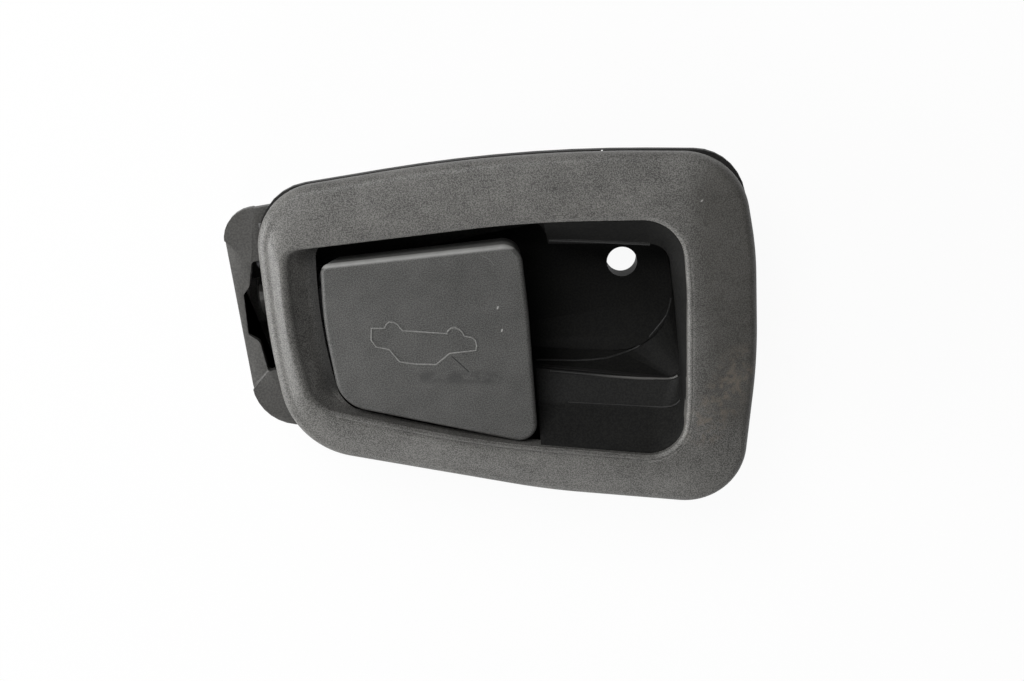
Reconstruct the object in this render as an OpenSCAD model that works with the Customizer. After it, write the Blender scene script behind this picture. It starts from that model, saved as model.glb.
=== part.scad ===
// Hood release handle for a car's side trim: a pull paddle on a hinge pin, set in a crowned
// bezel beside a finger pocket, with the cable anchor behind its hinge end.
// Units are millimetres. The part lies on its back. The origin is the centre of the fixing
// screw hole on the rear seat, +Z comes out of the front face, +Y runs along the hinge pin,
// and +X points to the hinge end.

/* [Bezel] */
// Length of the bezel, from the pocket end to the hinge end
bezel_len = 124.5; // [122:0.5:132]
// Height of the bezel across its tall end
bezel_h = 102.5; // [100:0.5:108]
// Height of the bezel's crown above the rear seat
crown_z = 36; // [35.5:0.25:38]
// Depth of the bezel's outer wall, from the crown to its rear edge
bezel_depth = 6.8; // [6.4:0.1:7.4]
// Wall of the bezel
bezel_wall = 2.2; // [1.8:0.1:2.6]
// Radius of the bezel's rounded shoulder
shoulder_r = 2.8; // [2:0.1:3.4]
// Fall of the bezel's face from the crown to the shoulder
face_fall = 2.1; // [1.2:0.1:2.8]
// Width of the rim beside the pocket
rim_left = 17; // [15:0.5:20]
// Width of the rim at the hinge end
rim_right = 7; // [6:0.5:9]
// Width of the rim above the opening
rim_top = 16; // [14:0.5:19]
// Width of the rim below the opening
rim_bottom = 15; // [13:0.5:18]
// How far the soft slope at the hinge end runs in under the paddle's edge
slope_run = 4.4; // [3.6:0.1:5]

/* [Finger pocket] */
// Height of the pocket's floor above the rear seat
floor_z = 6; // [5:0.5:8]
// Height of the lower edge of the pocket's upper tier
tier_z = 20; // [18.5:0.5:21]
// Length of the finger room, from the screw axis to its end wall under the paddle
room_len = 56; // [52:0.5:58]
// Wall of the housing
wall = 2; // [1.6:0.1:2.4]

/* [Fixing and cable] */
// Distance from the pocket end of the bezel to the screw axis
hole_from_left = 33; // [31:0.5:35]
// Distance from the lower edge of the bezel to the screw axis
hole_from_bottom = 39.5; // [38:0.5:41]
// Diameter of the fixing screw hole
screw_hole_d = 8; // [6.4:0.1:9]
// Diameter of the boss round the fixing screw hole
boss_d = 18; // [15:0.5:20]
// Diameter of the seat for the cable's nipple
nipple_d = 6.2; // [5:0.1:6.6]
// Diameter of the hole for the cable's conduit end
conduit_d = 8.2; // [6:0.1:9]
// Distance of the cable from the hinge pin, measured square to it
arm_len = 18.5; // [16.5:0.5:18.5]
// Place of the cable along the hinge pin
cable_y = -6.5; // [-7.5:0.5:-5.5]

/* [Paddle] */
// Length of the paddle, from its hinge end to its free end
paddle_len = 52; // [50:0.5:54]
// Gap between the bezel's right edge and the paddle's hinge end
paddle_inset = 14.5; // [14:0.25:15.5]
// Height of the paddle's face above the rear seat
paddle_z = 34.5; // [33.5:0.25:35]
// Depth of the paddle's side walls
paddle_depth = 10; // [8.5:0.25:10.5]
// Wall of the paddle
paddle_wall = 2; // [1.6:0.1:2.4]
// Radius of the paddle's face edge
paddle_edge_r = 1.2; // [0.8:0.1:1.6]

/* [Hinge] */
// Distance from the bezel's right edge to the hinge pin
pin_inset = 11; // [10.5:0.25:11.5]
// Height of the hinge pin above the rear seat
pin_z = 25; // [24:0.25:25.25]
// Diameter of the hinge pin
pin_d = 3.5; // [3:0.1:4]
// Running clearance between the pin and its holes, on the radius
pin_clear = 0.05; // [0.02:0.01:0.09]
// Radius of the lever's hub
hub_r = 3.6; // [3.3:0.1:3.8]
// Lower end of the hub along the pin
hub_y0 = -12; // [-12.5:0.5:-11]
// Upper end of the hub along the pin
hub_y1 = 10; // [9:0.5:10.5]
// Thickness of the pillars that carry the pin
pillar_t = 3; // [2.5:0.1:3.5]
// Outer radius of the pivot bushes
bush_r = 2.8; // [2.5:0.1:3]
// Diameter of the spring wire
wire_d = 0.9; // [0.7:0.1:1]
// Turns of the return spring
spring_turns = 4; // [3:1:5]

/* [Cable bracket] */
// How far the bracket stands out past the bezel
bracket_reach = 8; // [7:0.5:10]
// Height of the bracket's front plate above the rear seat
bracket_z = 24; // [22:0.5:25]
// Thickness of the bracket's walls
bracket_t = 1.6; // [1.4:0.1:2]
// Width of the cable gap in the bracket's front plate
cable_gap = 10; // [9:0.5:12]

/* [Hidden] */
arc_n = 7;
eps = 0.01;
L = -hole_from_left;
R = bezel_len - hole_from_left;
B = -hole_from_bottom;
T = bezel_h - hole_from_bottom;
pin_x = R - pin_inset;
paddle_x1 = R - paddle_inset;
paddle_x0 = paddle_x1 - paddle_len;
// The paddle opens to this angle, where its arm meets the pull bumper
open_angle = 30;

// Corner lists: [x, y, radius], anticlockwise from the lower hinge-end corner.
outer_v = [
    [R - 3.5, B, 16], [R, B + 39, 210], [R - 0.5, T - 36, 21.5],
    [29, T - 13, 190], [L + 13.5, T, 15.5], [L + 3.5, T - 39, 150],
    [L, B + 35.5, 90], [L + 0.5, B + 10.5, 17], [22, B + 0.5, 380]];
crest_v = [
    [R - rim_right - 2.5, B + rim_bottom, 4], [R - rim_right + 0.5, B + 35, 130],
    [R - rim_right - 1, T - 30.5 - rim_top, 10], [44.5, T - 13.5 - rim_top, 290],
    [L + rim_left + 9, T - rim_top, 9.5], [L + rim_left + 5.5, T - 32.5, 100],
    [L + rim_left + 1.5, B + 42.5, 80], [L + rim_left, B + 9 + rim_bottom, 11],
    [22, B + 3 + rim_bottom, 280]];
// Corner p slid along the side that leads to corner q, until it is d further from the hinge end
function slide(p, q, d) = p + [-1, (q.y - p.y) / (p.x - q.x), 0] * d;
lip_v = [
    slide(crest_v[0], crest_v[8], slope_run), crest_v[1] - [slope_run, 0, 0],
    slide(crest_v[2], crest_v[3], slope_run), for (i = [3:8]) crest_v[i]];
paddle_v = [
    [paddle_x1 - 2.5, B + 20, 2.5], [paddle_x1 - 0.3, B + 35, 90],
    [paddle_x1, T - 46, 8.5], [paddle_x0 + 4, T - 26.5, 4.5],
    [paddle_x0 + 0.5, B + 41, 110], [paddle_x0 - 0.5, B + 23, 5]];

// Heights that follow from the driving sizes
rear_edge_z = crown_z - bezel_depth;
shoulder_z = crown_z - face_fall;
lip_z = crown_z - 5.8;
flange_t = 2;
rib_h = 0.7;
flange_z = rear_edge_z - rib_h;
box_floor_z = tier_z - 2.3;
paddle_low_z = paddle_z - paddle_depth;
plate_t = 3;
plate_z = paddle_low_z + 0.2;
post_low_z = plate_z + plate_t;
mouth_gap = 0.7;
box_gap = bezel_wall - 0.6 + mouth_gap;

function unit(a) = a / norm(a);
function wrap(a) = a > 180 ? a - 360 : a < -180 ? a + 360 : a;

// Points of one rounded corner at p1, between p0 and p2
function corner(p0, p1, p2, r, n) =
    let (a = unit(p0 - p1), b = unit(p2 - p1), half = acos(a * b) / 2)
    let (c = p1 + unit(a + b) * r / sin(half))
    let (s = p1 + a * r / tan(half) - c, e = p1 + b * r / tan(half) - c)
    let (a0 = atan2(s.y, s.x), turn = wrap(atan2(e.y, e.x) - a0))
    [for (i = [0:n]) c + r * [cos(a0 + turn * i / n), sin(a0 + turn * i / n)]];

function xy(v) = [v.x, v.y];

// Outline with rounded corners from a corner list
function outline(v, n = arc_n) =
    let (k = len(v))
    [for (i = [0:k - 1])
        each corner(xy(v[(i + k - 1) % k]), xy(v[i]), xy(v[(i + 1) % k]), v[i][2], n)];

// Corner list moved inwards by d on every side
function inset(v, d) =
    let (k = len(v))
    [for (i = [0:k - 1])
        let (p = xy(v[i]), a = unit(xy(v[(i + k - 1) % k]) - p), b = unit(xy(v[(i + 1) % k]) - p))
        let (side = sign(cross(b, a)), half = acos(a * b) / 2)
        let (q = p + unit(a + b) * side * d / sin(half))
        [q.x, q.y, max(v[i][2] - side * d, 0.6)]];

function at_z(points, z) = [for (p = points) [p.x, p.y, z]];
function ring(v, d, z) = at_z(outline(inset(v, d)), z);
function mix(a, b, t) = [for (i = [0:len(a) - 1]) a[i] * (1 - t) + b[i] * t];

// Solid through a stack of rings from low to high, closed at both ends
module loft(rings) {
    m = len(rings);
    n = len(rings[0]);
    polyhedron(
        points = [for (r = rings) each r],
        faces = [
            [for (i = [0:n - 1]) i],
            for (k = [0:m - 2]) for (i = [0:n - 1]) each [
                [k * n + i, (k + 1) * n + i, (k + 1) * n + (i + 1) % n],
                [k * n + i, (k + 1) * n + (i + 1) % n, k * n + (i + 1) % n]],
            [for (i = [n - 1:-1:0]) (m - 1) * n + i]],
        convexity = 6);
}

// Solid frame through rings that go once round its section
module ring_loft(rings) {
    m = len(rings);
    n = len(rings[0]);
    polyhedron(
        points = [for (r = rings) each r],
        faces = [for (k = [0:m - 1]) for (i = [0:n - 1])
            let (a = k * n, b = ((k + 1) % m) * n, j = (i + 1) % n)
            each [[a + i, b + i, b + j], [a + i, b + j, a + j]]],
        convexity = 8);
}

module slab(v, d, z0, z1) {
    translate([0, 0, z0]) linear_extrude(z1 - z0) polygon(outline(inset(v, d)));
}

module along_y(x, y0, y1, z, r, fn = 48) {
    translate([x, y0, z]) rotate([-90, 0, 0]) cylinder(r = r, h = y1 - y0, $fn = fn);
}

module along_x(x0, x1, y, z, r, fn = 48) {
    translate([x0, y, z]) rotate([0, 90, 0]) cylinder(r = r, h = x1 - x0, $fn = fn);
}

module box(lo, hi) {
    translate(lo) cube(hi - lo);
}

// Snap hooks of the bezel: [x, y, angle of the outward side]
hook_w = 8;
hook_t = 1.6;
hook_barb = 0.9;
hook_places = [
    [5, B + 5.8, -90], [60, B + 3.6, -90], [62, T - 29.6, 70],
    [2, T - 9, 75], [L + 7.6, 20, 192]];

module at_hooks() {
    for (h = hook_places) translate([h.x, h.y, 0]) rotate([0, 0, h[2]]) children();
}

// Upper tier of the pocket: corner lists of its clear inside, from the crest down
tier_x = 42;
tier_mid_z = tier_z + 3;
tier_top = [
    [tier_x, B + 14.8, 1], [tier_x, T - 28.2, 1], crest_v[4], crest_v[5], crest_v[6],
    crest_v[7]];
tier_band = [
    [tier_x, B + 21.3, 1], [tier_x, T - 37.3, 1], [L + 23.9, T - 25.1, 6],
    [L + 22.6, T - 39, 60], [L + 21.2, B + 42, 60], [L + 20.4, B + 31.2, 7]];
tier_fold = [
    [tier_x, B + 22.8, 1], [tier_x, T - 38.3, 1], [L + 24.2, T - 26.2, 5],
    [L + 22.7, T - 40, 60], [L + 21.3, B + 42, 60], [L + 20.6, B + 32.5, 6]];
tier_edge = [
    [tier_x, B + 23.4, 1], [tier_x, T - 46.6, 1], [L + 22.1, T - 31.8, 3.5],
    [L + 21.8, T - 42, 60], [L + 21.3, B + 42, 60], [L + 20.8, B + 33, 6]];
tier_cut = 18;

module tier_void(grow, drop) {
    loft([
        ring(tier_edge, -grow, tier_z - 3),
        ring(tier_edge, -grow, tier_z - drop),
        ring(tier_fold, -grow, tier_mid_z - drop),
        ring(tier_band, -grow, tier_mid_z + 1 - drop * 0.6),
        ring(tier_top, -grow * 0.75, crown_z - 1.1 - drop),
        ring(tier_top, -grow * 0.75, crown_z + (drop == 0 ? 3 : 0) - 2.2 * sign(drop))]);
}

module pocket_tier() {
    difference() {
        intersection() {
            tier_void(bezel_wall, bezel_wall);
            union() {
                box([L - 5, B - 5, tier_z - 1.2], [tier_cut, T + 5, crown_z]);
                box([L - 5, 8, tier_z - 1.2], [paddle_x0 - 1, T + 5, crown_z]);
                box([L - 5, 8, tier_z - 1.2], [paddle_x0 + 1, T + 5, paddle_low_z - 0.6]);
            }
        }
        tier_void(0, 0);
    }
}

module bezel() {
    color([0.20, 0.195, 0.19]) {
        ring_loft([
            ring(outer_v, 0.3, rear_edge_z),
            ring(outer_v, 0, rear_edge_z + 0.8),
            ring(outer_v, 0, shoulder_z - 0.95 * shoulder_r),
            ring(outer_v, 0.16 * shoulder_r, shoulder_z - 0.5 * shoulder_r),
            ring(outer_v, 0.5 * shoulder_r, shoulder_z - 0.17 * shoulder_r),
            ring(outer_v, shoulder_r, shoulder_z),
            mix(ring(outer_v, shoulder_r, 0), ring(crest_v, -1.6, 0), 0.55)
                + [for (i = [1:9 * (arc_n + 1)]) [0, 0, crown_z - 0.85]],
            ring(crest_v, -1.6, crown_z - 0.2),
            ring(crest_v, -1.1, crown_z - 0.4),
            ring(crest_v, -0.5, crown_z),
            ring(crest_v, 0, crown_z - 0.4),
            mix(ring(crest_v, 0.2, crown_z - 1.2), ring(lip_v, 0.2, crown_z - 1.2), 0.08),
            ring(lip_v, 0.4, lip_z + 0.3),
            ring(lip_v, 0, lip_z),
            ring(lip_v, -bezel_wall + 0.6, lip_z),
            ring(crest_v, -bezel_wall, crown_z - 1.1 * bezel_wall),
            ring(outer_v, 1.2 * bezel_wall, shoulder_z - bezel_wall),
            ring(outer_v, bezel_wall, rear_edge_z)]);
        pocket_tier();
        at_hooks() {
            box([-hook_t, -hook_w / 2, flange_z - flange_t - 1.8], [0, hook_w / 2, shoulder_z - 1.4]);
            translate([0, hook_w / 2, flange_z - flange_t - 0.2]) rotate([90, 0, 0])
                linear_extrude(hook_w) polygon([[-0.2, 0], [hook_barb, 0], [0, -1.6], [-0.2, -1.6]]);
        }
    }
}
bezel();

// Corner lists of the deep tub's inside at its top and at its floor
tub_v = [
    [room_len, B + 24, 4], [room_len, T - 50.5, 6], [L + 21.8, T - 31.4, 4],
    [L + 20.4, B + 32, 5], [tier_cut, B + 26.4, 1], [tier_cut + 1.5, B + 22.5, 2]];
floor_v = [
    [room_len - 4, B + 25, 4], [room_len - 4, T - 50, 7], [L + 21.6, T - 36.4, 15],
    [L + 20.6, B + 32.2, 5], [tier_cut, B + 26.8, 1], [tier_cut + 1.5, B + 23, 2]];
floor_fold_y = T - 51;
floor_rise = 2;
tub_top_z = box_floor_z - wall;

// Corner list of the flange behind the bezel, which shows past its lower corners
flange_v = [
    [R - 3.2, B - 0.2, 14.5], for (i = [1:6]) outer_v[i], [L + 0.4, B + 10.1, 13.5], [22, B + 0.2, 380]];

// Chamber in the hinge frame, below the pin
chamber_x0 = room_len + 2 * wall + 0.1;
chamber_x1 = R - 5.5;
port_r = nipple_d / 2 + 2;
pillar_y0 = hub_y0 - 0.5;
pillar_y1 = hub_y1 + 0.5;
pillar_r = bush_r + 1.5;
cable_x = pin_x - 2;
cable_z = pin_z - arm_len;
seat_x = R - 2.3;
bracket_screw_z = 17.6;
bracket_screw_y = [B + 19, T - 45.4];
pad_w = 8;
screw_r = 1.4;
head_r = 2.9;
tab_x = 66;
tab_w = 12;
tab_t = 1.6;
tab_low = 14;
// Tabs for the panel clips: [y, angle of the tab's outward side]
tab_places = [[B + 8.2, -90], [T - 29.6, 67]];

module at_tab(i) {
    translate([tab_x, tab_places[i].x, 0]) rotate([0, 0, tab_places[i].y]) children();
}

// Low lugs on the flange, which the bezel's rear edge rests on
lug_x = 66.5;
lug_pitch = 15.2;
lug_w = 2;

module flange_lugs() {
    intersection() {
        slab(outer_v, 0.25, flange_z - 0.5, rear_edge_z);
        union() {
            for (i = [0:5]) let (x = lug_x - lug_pitch * i) {
                box([x, B - 1, flange_z - 1], [x + lug_w, B + 3.4, crown_z]);
                box([x, T - 34 + 5 * i, flange_z - 1], [x + lug_w, T + 1, crown_z]);
            }
            box([L - 1, B + 12, flange_z - 1], [L + 3, B + 12 + lug_w, crown_z]);
            box([L - 1, T - 38, flange_z - 1], [L + 6, T - 38 + lug_w, crown_z]);
        }
    }
}

// Housing: the flange and the upper shell round the pocket, open over the tub and the hinge frame
module housing_outside() {
    difference() {
        union() {
            slab(flange_v, 0.25, flange_z - flange_t, flange_z);
            slab(crest_v, -box_gap - wall, tub_top_z, flange_z - 0.5);
        }
        slab(crest_v, -box_gap, box_floor_z, crown_z);
    }
    for (y = bracket_screw_y) {
        box([R - 6, y - pad_w / 2, bracket_screw_z - 3.6], [seat_x, y + pad_w / 2, flange_z - flange_t]);
    }
    for (i = [0, 1]) at_tab(i) box([-tab_t / 2, -tab_w / 2, tab_low], [tab_t / 2, tab_w / 2, flange_z - 1]);
    flange_lugs();
}

module housing() {
    color([0.13, 0.13, 0.135]) difference() {
        housing_outside();
        slab(tub_v, 0, tub_top_z - 1, box_floor_z + 1);
        box([chamber_x0, pillar_y0 - pillar_t - 0.1, tub_top_z - 1],
            [chamber_x1 + 1.3, pillar_y1 + pillar_t + 0.1, crown_z]);
        for (y = bracket_screw_y) along_x(R - 8, seat_x + 1, y, bracket_screw_z, screw_r + 0.02);
        at_hooks() box([-hook_t - 0.4, -hook_w / 2 - 0.4, flange_z - flange_t - 1],
            [hook_barb + 0.3, hook_w / 2 + 0.4, flange_z + 1]);
    }
}
housing();

// Pocket tub: hollows in its back, between ribs that stand on the seat
core_places = [12.8, 28.8, 44.8];
core_len = 14.4;
mid_rib_y = (B + T) / 2 - 8.95;

module back_cores() {
    for (x = core_places) {
        box([x, B + 26.5, -1], [x + core_len, mid_rib_y - 0.8, floor_z - wall]);
        box([x, mid_rib_y + 0.8, -1], [min(x + core_len, room_len - 4), T - 48.8 - 0.1 * x, floor_z - wall]);
    }
    box([-9.5, boss_d / 2 + 1.5, -1], [11.2, T - 41, floor_z - wall]);
}

module tub_void() {
    slab(floor_v, 0.4, floor_z, floor_z + 1.5);
    loft([
        ring(floor_v, 0, floor_z + 0.3),
        ring(tub_v, 0, tub_top_z),
        ring(tub_v, 0, box_floor_z + 1)]);
}

module pocket_tub() {
    color([0.13, 0.13, 0.135]) {
        difference() {
            union() {
                slab(tub_v, -wall, 0, tub_top_z);
                cylinder(d = boss_d, h = floor_z + 0.5);
            }
            tub_void();
            back_cores();
            translate([0, 0, -1]) cylinder(d = screw_hole_d, h = floor_z + 4, $fn = 64);
        }
        intersection() {
            slab(floor_v, -0.5, floor_z - 0.5, floor_z + floor_rise);
            translate([L, 0, 0]) rotate([90, 0, 90]) linear_extrude(room_len - L)
                polygon([[floor_fold_y, floor_z], [floor_fold_y + 14, floor_z + floor_rise],
                    [T, floor_z + floor_rise], [T, floor_z - 0.4], [floor_fold_y, floor_z - 0.4]]);
        }
    }
}
pocket_tub();

// Hinge frame: the chamber's walls, the pillars that carry the pin, and the post of the spring
module hinge_frame() {
    color([0.13, 0.13, 0.135]) {
        difference() {
            union() {
                box([chamber_x0 - wall, pillar_y0 - pillar_t, 0],
                    [chamber_x1 + wall, pillar_y1 + pillar_t, tub_top_z]);
                for (y = [pillar_y0 - pillar_t, pillar_y1]) {
                    box([pin_x - pillar_r, y, tub_top_z - 1], [pin_x + pillar_r, y + pillar_t, pin_z]);
                    along_y(pin_x, y, y + pillar_t, pin_z, pillar_r);
                }
            }
            box([chamber_x0, pillar_y0, -1], [chamber_x1, pillar_y1, crown_z]);
            // Port in the lower wall, through which the cable's nipple goes into the arm
            along_y(cable_x, pillar_y0 - pillar_t - 1, pillar_y0 + 1, cable_z, port_r);
            along_y(pin_x, pillar_y0 - pillar_t - 1, pillar_y1 + pillar_t + 1, pin_z, bush_r + 0.02);
            box([chamber_x1 - 1, cable_y - 2.2, cable_z - 3.6], [seat_x + 1, cable_y + 2.2, cable_z + 3]);
            along_x(chamber_x1 - 1, seat_x + 2, cable_y, rest_bumper_z, bumper_stem_r + 0.02);
            along_x(chamber_x0 - wall - 1, chamber_x0 + 1, cable_y, open_tip.y, bumper_stem_r + 0.02);
        }
        box([spring_post_x, spring_y1 - 1.5, tub_top_z - 1],
            [chamber_x1 + 1.2, spring_y1 + 1.5, spring_post_z]);
    }
}
hinge_frame();

// Cable bracket: an ear and a front plate over a box that is open towards the housing
ear_t = 2.4;
plate_low = 3.2;
plate_v = [
    [R + bracket_reach - 1.1, B + 4.8, 8], [R + bracket_reach + 0.7, T - 41.7, 12],
    [seat_x, T - 38.8, 0.6], [seat_x, B + 4.8, 0.6]];
body_v = [
    [R + bracket_reach - 0.9, B + 12, 4], plate_v[1], plate_v[2], [seat_x, B + 12, 0.6]];
bracket_room_v = [
    for (i = [0:1]) inset(body_v, bracket_t)[i],
    [seat_x - 2, T - 38.8 - bracket_t, 0.6], [seat_x - 2, B + 12 + bracket_t, 0.6]];
window_v = [
    [seat_x - 2, B + 18.5, 0.6], [R + 1.4, B + 18.5, 1.2], [R + 3.5, cable_y - cable_gap / 2 - 3.1, 1.5],
    [R + bracket_reach - 2.5, cable_y - cable_gap / 2 - 1.1, 1.2],
    [R + bracket_reach - 1.4, cable_y + cable_gap / 2 - 0.5, 1.2],
    [R + 3.9, cable_y + cable_gap / 2 + 1.7, 2], [R + 3.4, cable_y + cable_gap / 2 + 9.8, 0.8],
    [seat_x - 2, cable_y + cable_gap / 2 + 9.8, 0.6]];
conduit_x0 = R + bracket_reach - 4;
conduit_x1 = R + bracket_reach + 0.4;
conduit_boss_r = conduit_d / 2 + 1.8;

// The strip along the plate's outer side falls outwards, from one mitred crease to the other
strip_fall = 18;
strip_x = R + 1.7;
strip_y = B + 18.7;

module strip_cut() {
    intersection() {
        translate([strip_x, strip_y, bracket_z]) rotate([0, 0, -3.3]) rotate([0, strip_fall, 0])
            box([0, -15, 0], [15, 50, 9]);
        translate([0, 0, bracket_z - 6]) linear_extrude(15)
            polygon([[strip_x, strip_y], [strip_x + 9.6, strip_y - 12], [strip_x + 13, strip_y + 38.7],
                [strip_x + 1.7, strip_y + 29.1]]);
    }
}

module cable_bracket() {
    color([0.17, 0.17, 0.165]) difference() {
        union() {
            difference() {
                union() {
                    slab(plate_v, 0, bracket_z - ear_t, bracket_z);
                    slab(body_v, 0, 1, bracket_z - 1);
                }
                slab(bracket_room_v, 0, 1 + bracket_t, bracket_z - plate_low);
                slab(window_v, 0, bracket_z - plate_low - 1, bracket_z + 1);
                strip_cut();
            }
            // Tongue under the bezel's lower corner
            box([R - 7, B + 5, bracket_z - ear_t], [seat_x + 1.5, B + 9, bracket_z]);
            for (y = bracket_screw_y) {
                box([seat_x, y - pad_w / 2, bracket_screw_z - 4.4],
                    [seat_x + bracket_t, y + pad_w / 2, bracket_z - 0.2]);
            }
            along_x(conduit_x0, conduit_x1, cable_y, cable_z, conduit_boss_r);
        }
        along_x(conduit_x0 - 1, conduit_x1 + 1, cable_y, cable_z, conduit_d / 2, 64);
        for (y = bracket_screw_y) along_x(seat_x - 1, seat_x + 3, y, bracket_screw_z, screw_r + 0.3);
    }
}
cable_bracket();

// Self-tapping pan-head screw along +Z from the origin, its head below z = 0
module pan_screw(length, head_h = 1.6) {
    difference() {
        union() {
            translate([0, 0, -head_h]) cylinder(r = head_r, h = head_h, $fn = 32);
            translate([0, 0, -eps]) cylinder(r = screw_r, h = length - 1.5, $fn = 32);
            translate([0, 0, length - 1.6]) cylinder(r1 = screw_r, r2 = 0.4, h = 1.6, $fn = 32);
        }
        for (a = [0, 90]) rotate([0, 0, a]) box([-1.9, -0.4, -head_h - 1], [1.9, 0.4, -head_h + 0.9]);
    }
}

module bracket_screw(i) {
    color([0.62, 0.62, 0.6])
        translate([seat_x + bracket_t, bracket_screw_y[i], bracket_screw_z]) rotate([0, -90, 0]) pan_screw(6.5);
}
bracket_screw(0);  // bracket_screw_1
bracket_screw(1);  // bracket_screw_2

// Paddle
post_places = [[42, 5], [63, 0]];
roof_z = paddle_z - 2.5;
relief_z = paddle_low_z + 7.7;

module paddle() {
    color([0.16, 0.16, 0.16]) difference() {
        union() {
            difference() {
                loft([
                    ring(paddle_v, 0.5, paddle_low_z),
                    ring(paddle_v, 0, paddle_z - paddle_edge_r),
                    ring(paddle_v, 0.13 * paddle_edge_r, paddle_z - 0.5 * paddle_edge_r),
                    ring(paddle_v, 0.5 * paddle_edge_r, paddle_z - 0.13 * paddle_edge_r),
                    ring(paddle_v, paddle_edge_r, paddle_z)]);
                loft([
                    ring(paddle_v, 0.5 + paddle_wall, paddle_low_z - 1),
                    ring(paddle_v, 0.6 + paddle_wall, roof_z)]);
            }
            intersection() {
                slab(paddle_v, paddle_wall, post_low_z + 0.4, roof_z + 0.5);
                for (y = [-9, 5, 18]) box([paddle_x0, y - 0.6, post_low_z], [paddle_x1, y + 0.6, paddle_z]);
            }
            for (p = post_places) translate([p.x, p.y, post_low_z]) cylinder(r = 3.4, h = roof_z - post_low_z + 0.5);
        }
        for (p = post_places) translate([p.x, p.y, post_low_z - 1]) cylinder(r = screw_r + 0.02, h = 5.2, $fn = 32);
        // Relief at the hinge end, so that the paddle can swing
        translate([0, T, 0]) rotate([90, 0, 0]) linear_extrude(T - B) polygon([
            [paddle_x1 - 7, paddle_low_z - 1], [paddle_x1 - 6.5, paddle_low_z], [paddle_x1 - 4.6, paddle_low_z + 4.1],
            [paddle_x1 + 0.2, relief_z], [paddle_x1 + 3, relief_z], [paddle_x1 + 3, paddle_low_z - 1]]);
    }
}
paddle();

// Lever
arm_y0 = cable_y - 2.5;
arm_y1 = cable_y + 2.5;
slim_y1 = arm_y1 + 7;
slim_r = hub_r - 0.9;
tip_r = nipple_d / 2 + 1.5;
ear_profile = [
    [pin_x, pin_z + hub_r], [pin_x - 2.8, post_low_z + 0.5], [pin_x - 5.5, post_low_z], [pin_x - 15, post_low_z],
    [pin_x - 15, plate_z], [pin_x - 9.5, plate_z], [pin_x - 5, pin_z - hub_r + 1], [pin_x, pin_z - hub_r]];
arm_profile = [
    [pin_x + hub_r, pin_z], [cable_x + tip_r, cable_z], [cable_x - tip_r, cable_z], [pin_x - hub_r, pin_z]];

module profile_y(points, y0, y1) {
    translate([0, y1, 0]) rotate([90, 0, 0]) linear_extrude(y1 - y0) polygon(points);
}

module lever() {
    color([0.22, 0.22, 0.23]) difference() {
        union() {
            intersection() {
                slab(paddle_v, paddle_wall + 1.1, plate_z, post_low_z);
                box([paddle_x0, B, 0], [paddle_x1 - 4, T, crown_z]);
            }
            along_y(pin_x, hub_y0, arm_y1, pin_z, hub_r);
            along_y(pin_x, arm_y1 - 1, slim_y1 + 1, pin_z, slim_r);
            along_y(pin_x, slim_y1, hub_y1, pin_z, hub_r);
            profile_y(ear_profile, hub_y0, arm_y1);
            profile_y(ear_profile, slim_y1, hub_y1);
            profile_y(arm_profile, arm_y0, arm_y1);
            along_y(cable_x, arm_y0, arm_y1, cable_z, tip_r);
        }
        along_y(pin_x, hub_y0 - 1, hub_y1 + 1, pin_z, pin_d / 2 + pin_clear);
        along_y(cable_x, arm_y0 - 1, arm_y1 + 1, cable_z, nipple_d / 2, 64);
        // Slot for the cable, open towards the bracket
        box([cable_x, cable_y - 1.1, cable_z - 1.1], [cable_x + tip_r + 2, cable_y + 1.1, cable_z + 1.1]);
        for (p = post_places) translate([p.x, p.y, plate_z - 1]) {
            cylinder(r = screw_r + 0.3, h = plate_t + 2, $fn = 32);
            cylinder(r = head_r + 0.4, h = 3, $fn = 32);
        }
    }
}
lever();

module paddle_screw(i) {
    color([0.62, 0.62, 0.6]) translate([post_places[i].x, post_places[i].y, plate_z + 2]) pan_screw(4.8);
}
paddle_screw(0);  // paddle_screw_1
paddle_screw(1);  // paddle_screw_2

// Hinge pin, its ring and bushes
pin_head_r = 3;
groove_r = pin_d / 2 - 0.4;
ring_t = 0.6;
ring_y = pillar_y1 + pillar_t + 0.1;

module pivot_pin() {
    color([0.72, 0.72, 0.72]) difference() {
        union() {
            along_y(pin_x, pillar_y0 - pillar_t - 0.2, ring_y + ring_t + 1.2, pin_z, pin_d / 2);
            along_y(pin_x, pillar_y0 - pillar_t - 1.3, pillar_y0 - pillar_t - 0.1, pin_z, pin_head_r);
        }
        difference() {
            along_y(pin_x, ring_y - 0.05, ring_y + ring_t + 0.05, pin_z, pin_d);
            along_y(pin_x, ring_y - 1, ring_y + ring_t + 1, pin_z, groove_r);
        }
    }
}
pivot_pin();

module pin_ring() {
    color([0.5, 0.5, 0.52]) difference() {
        along_y(pin_x, ring_y, ring_y + ring_t, pin_z, pin_d / 2 + 1.5);
        along_y(pin_x, ring_y - 1, ring_y + ring_t + 1, pin_z, groove_r + 0.05);
        box([pin_x - 0.9, ring_y - 1, pin_z], [pin_x + 0.9, ring_y + ring_t + 1, pin_z + 5]);
        for (s = [-1, 1]) along_y(pin_x + s * (groove_r + 0.6), ring_y - 1, ring_y + ring_t + 1, pin_z - 1.2, 0.5, 24);
    }
}
pin_ring();

flange_r = bush_r + 1;

module bush(y_face, side) {
    color([0.85, 0.84, 0.8]) difference() {
        union() {
            along_y(pin_x, min(y_face, y_face + side * pillar_t), max(y_face, y_face + side * pillar_t), pin_z, bush_r);
            along_y(pin_x, min(y_face, y_face - side * 0.3), max(y_face, y_face - side * 0.3), pin_z, flange_r);
        }
        along_y(pin_x, y_face - 5, y_face + 5, pin_z, pin_d / 2 + pin_clear);
    }
}
bush(pillar_y0, -1);  // bush_1
bush(pillar_y1, 1);  // bush_2

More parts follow.
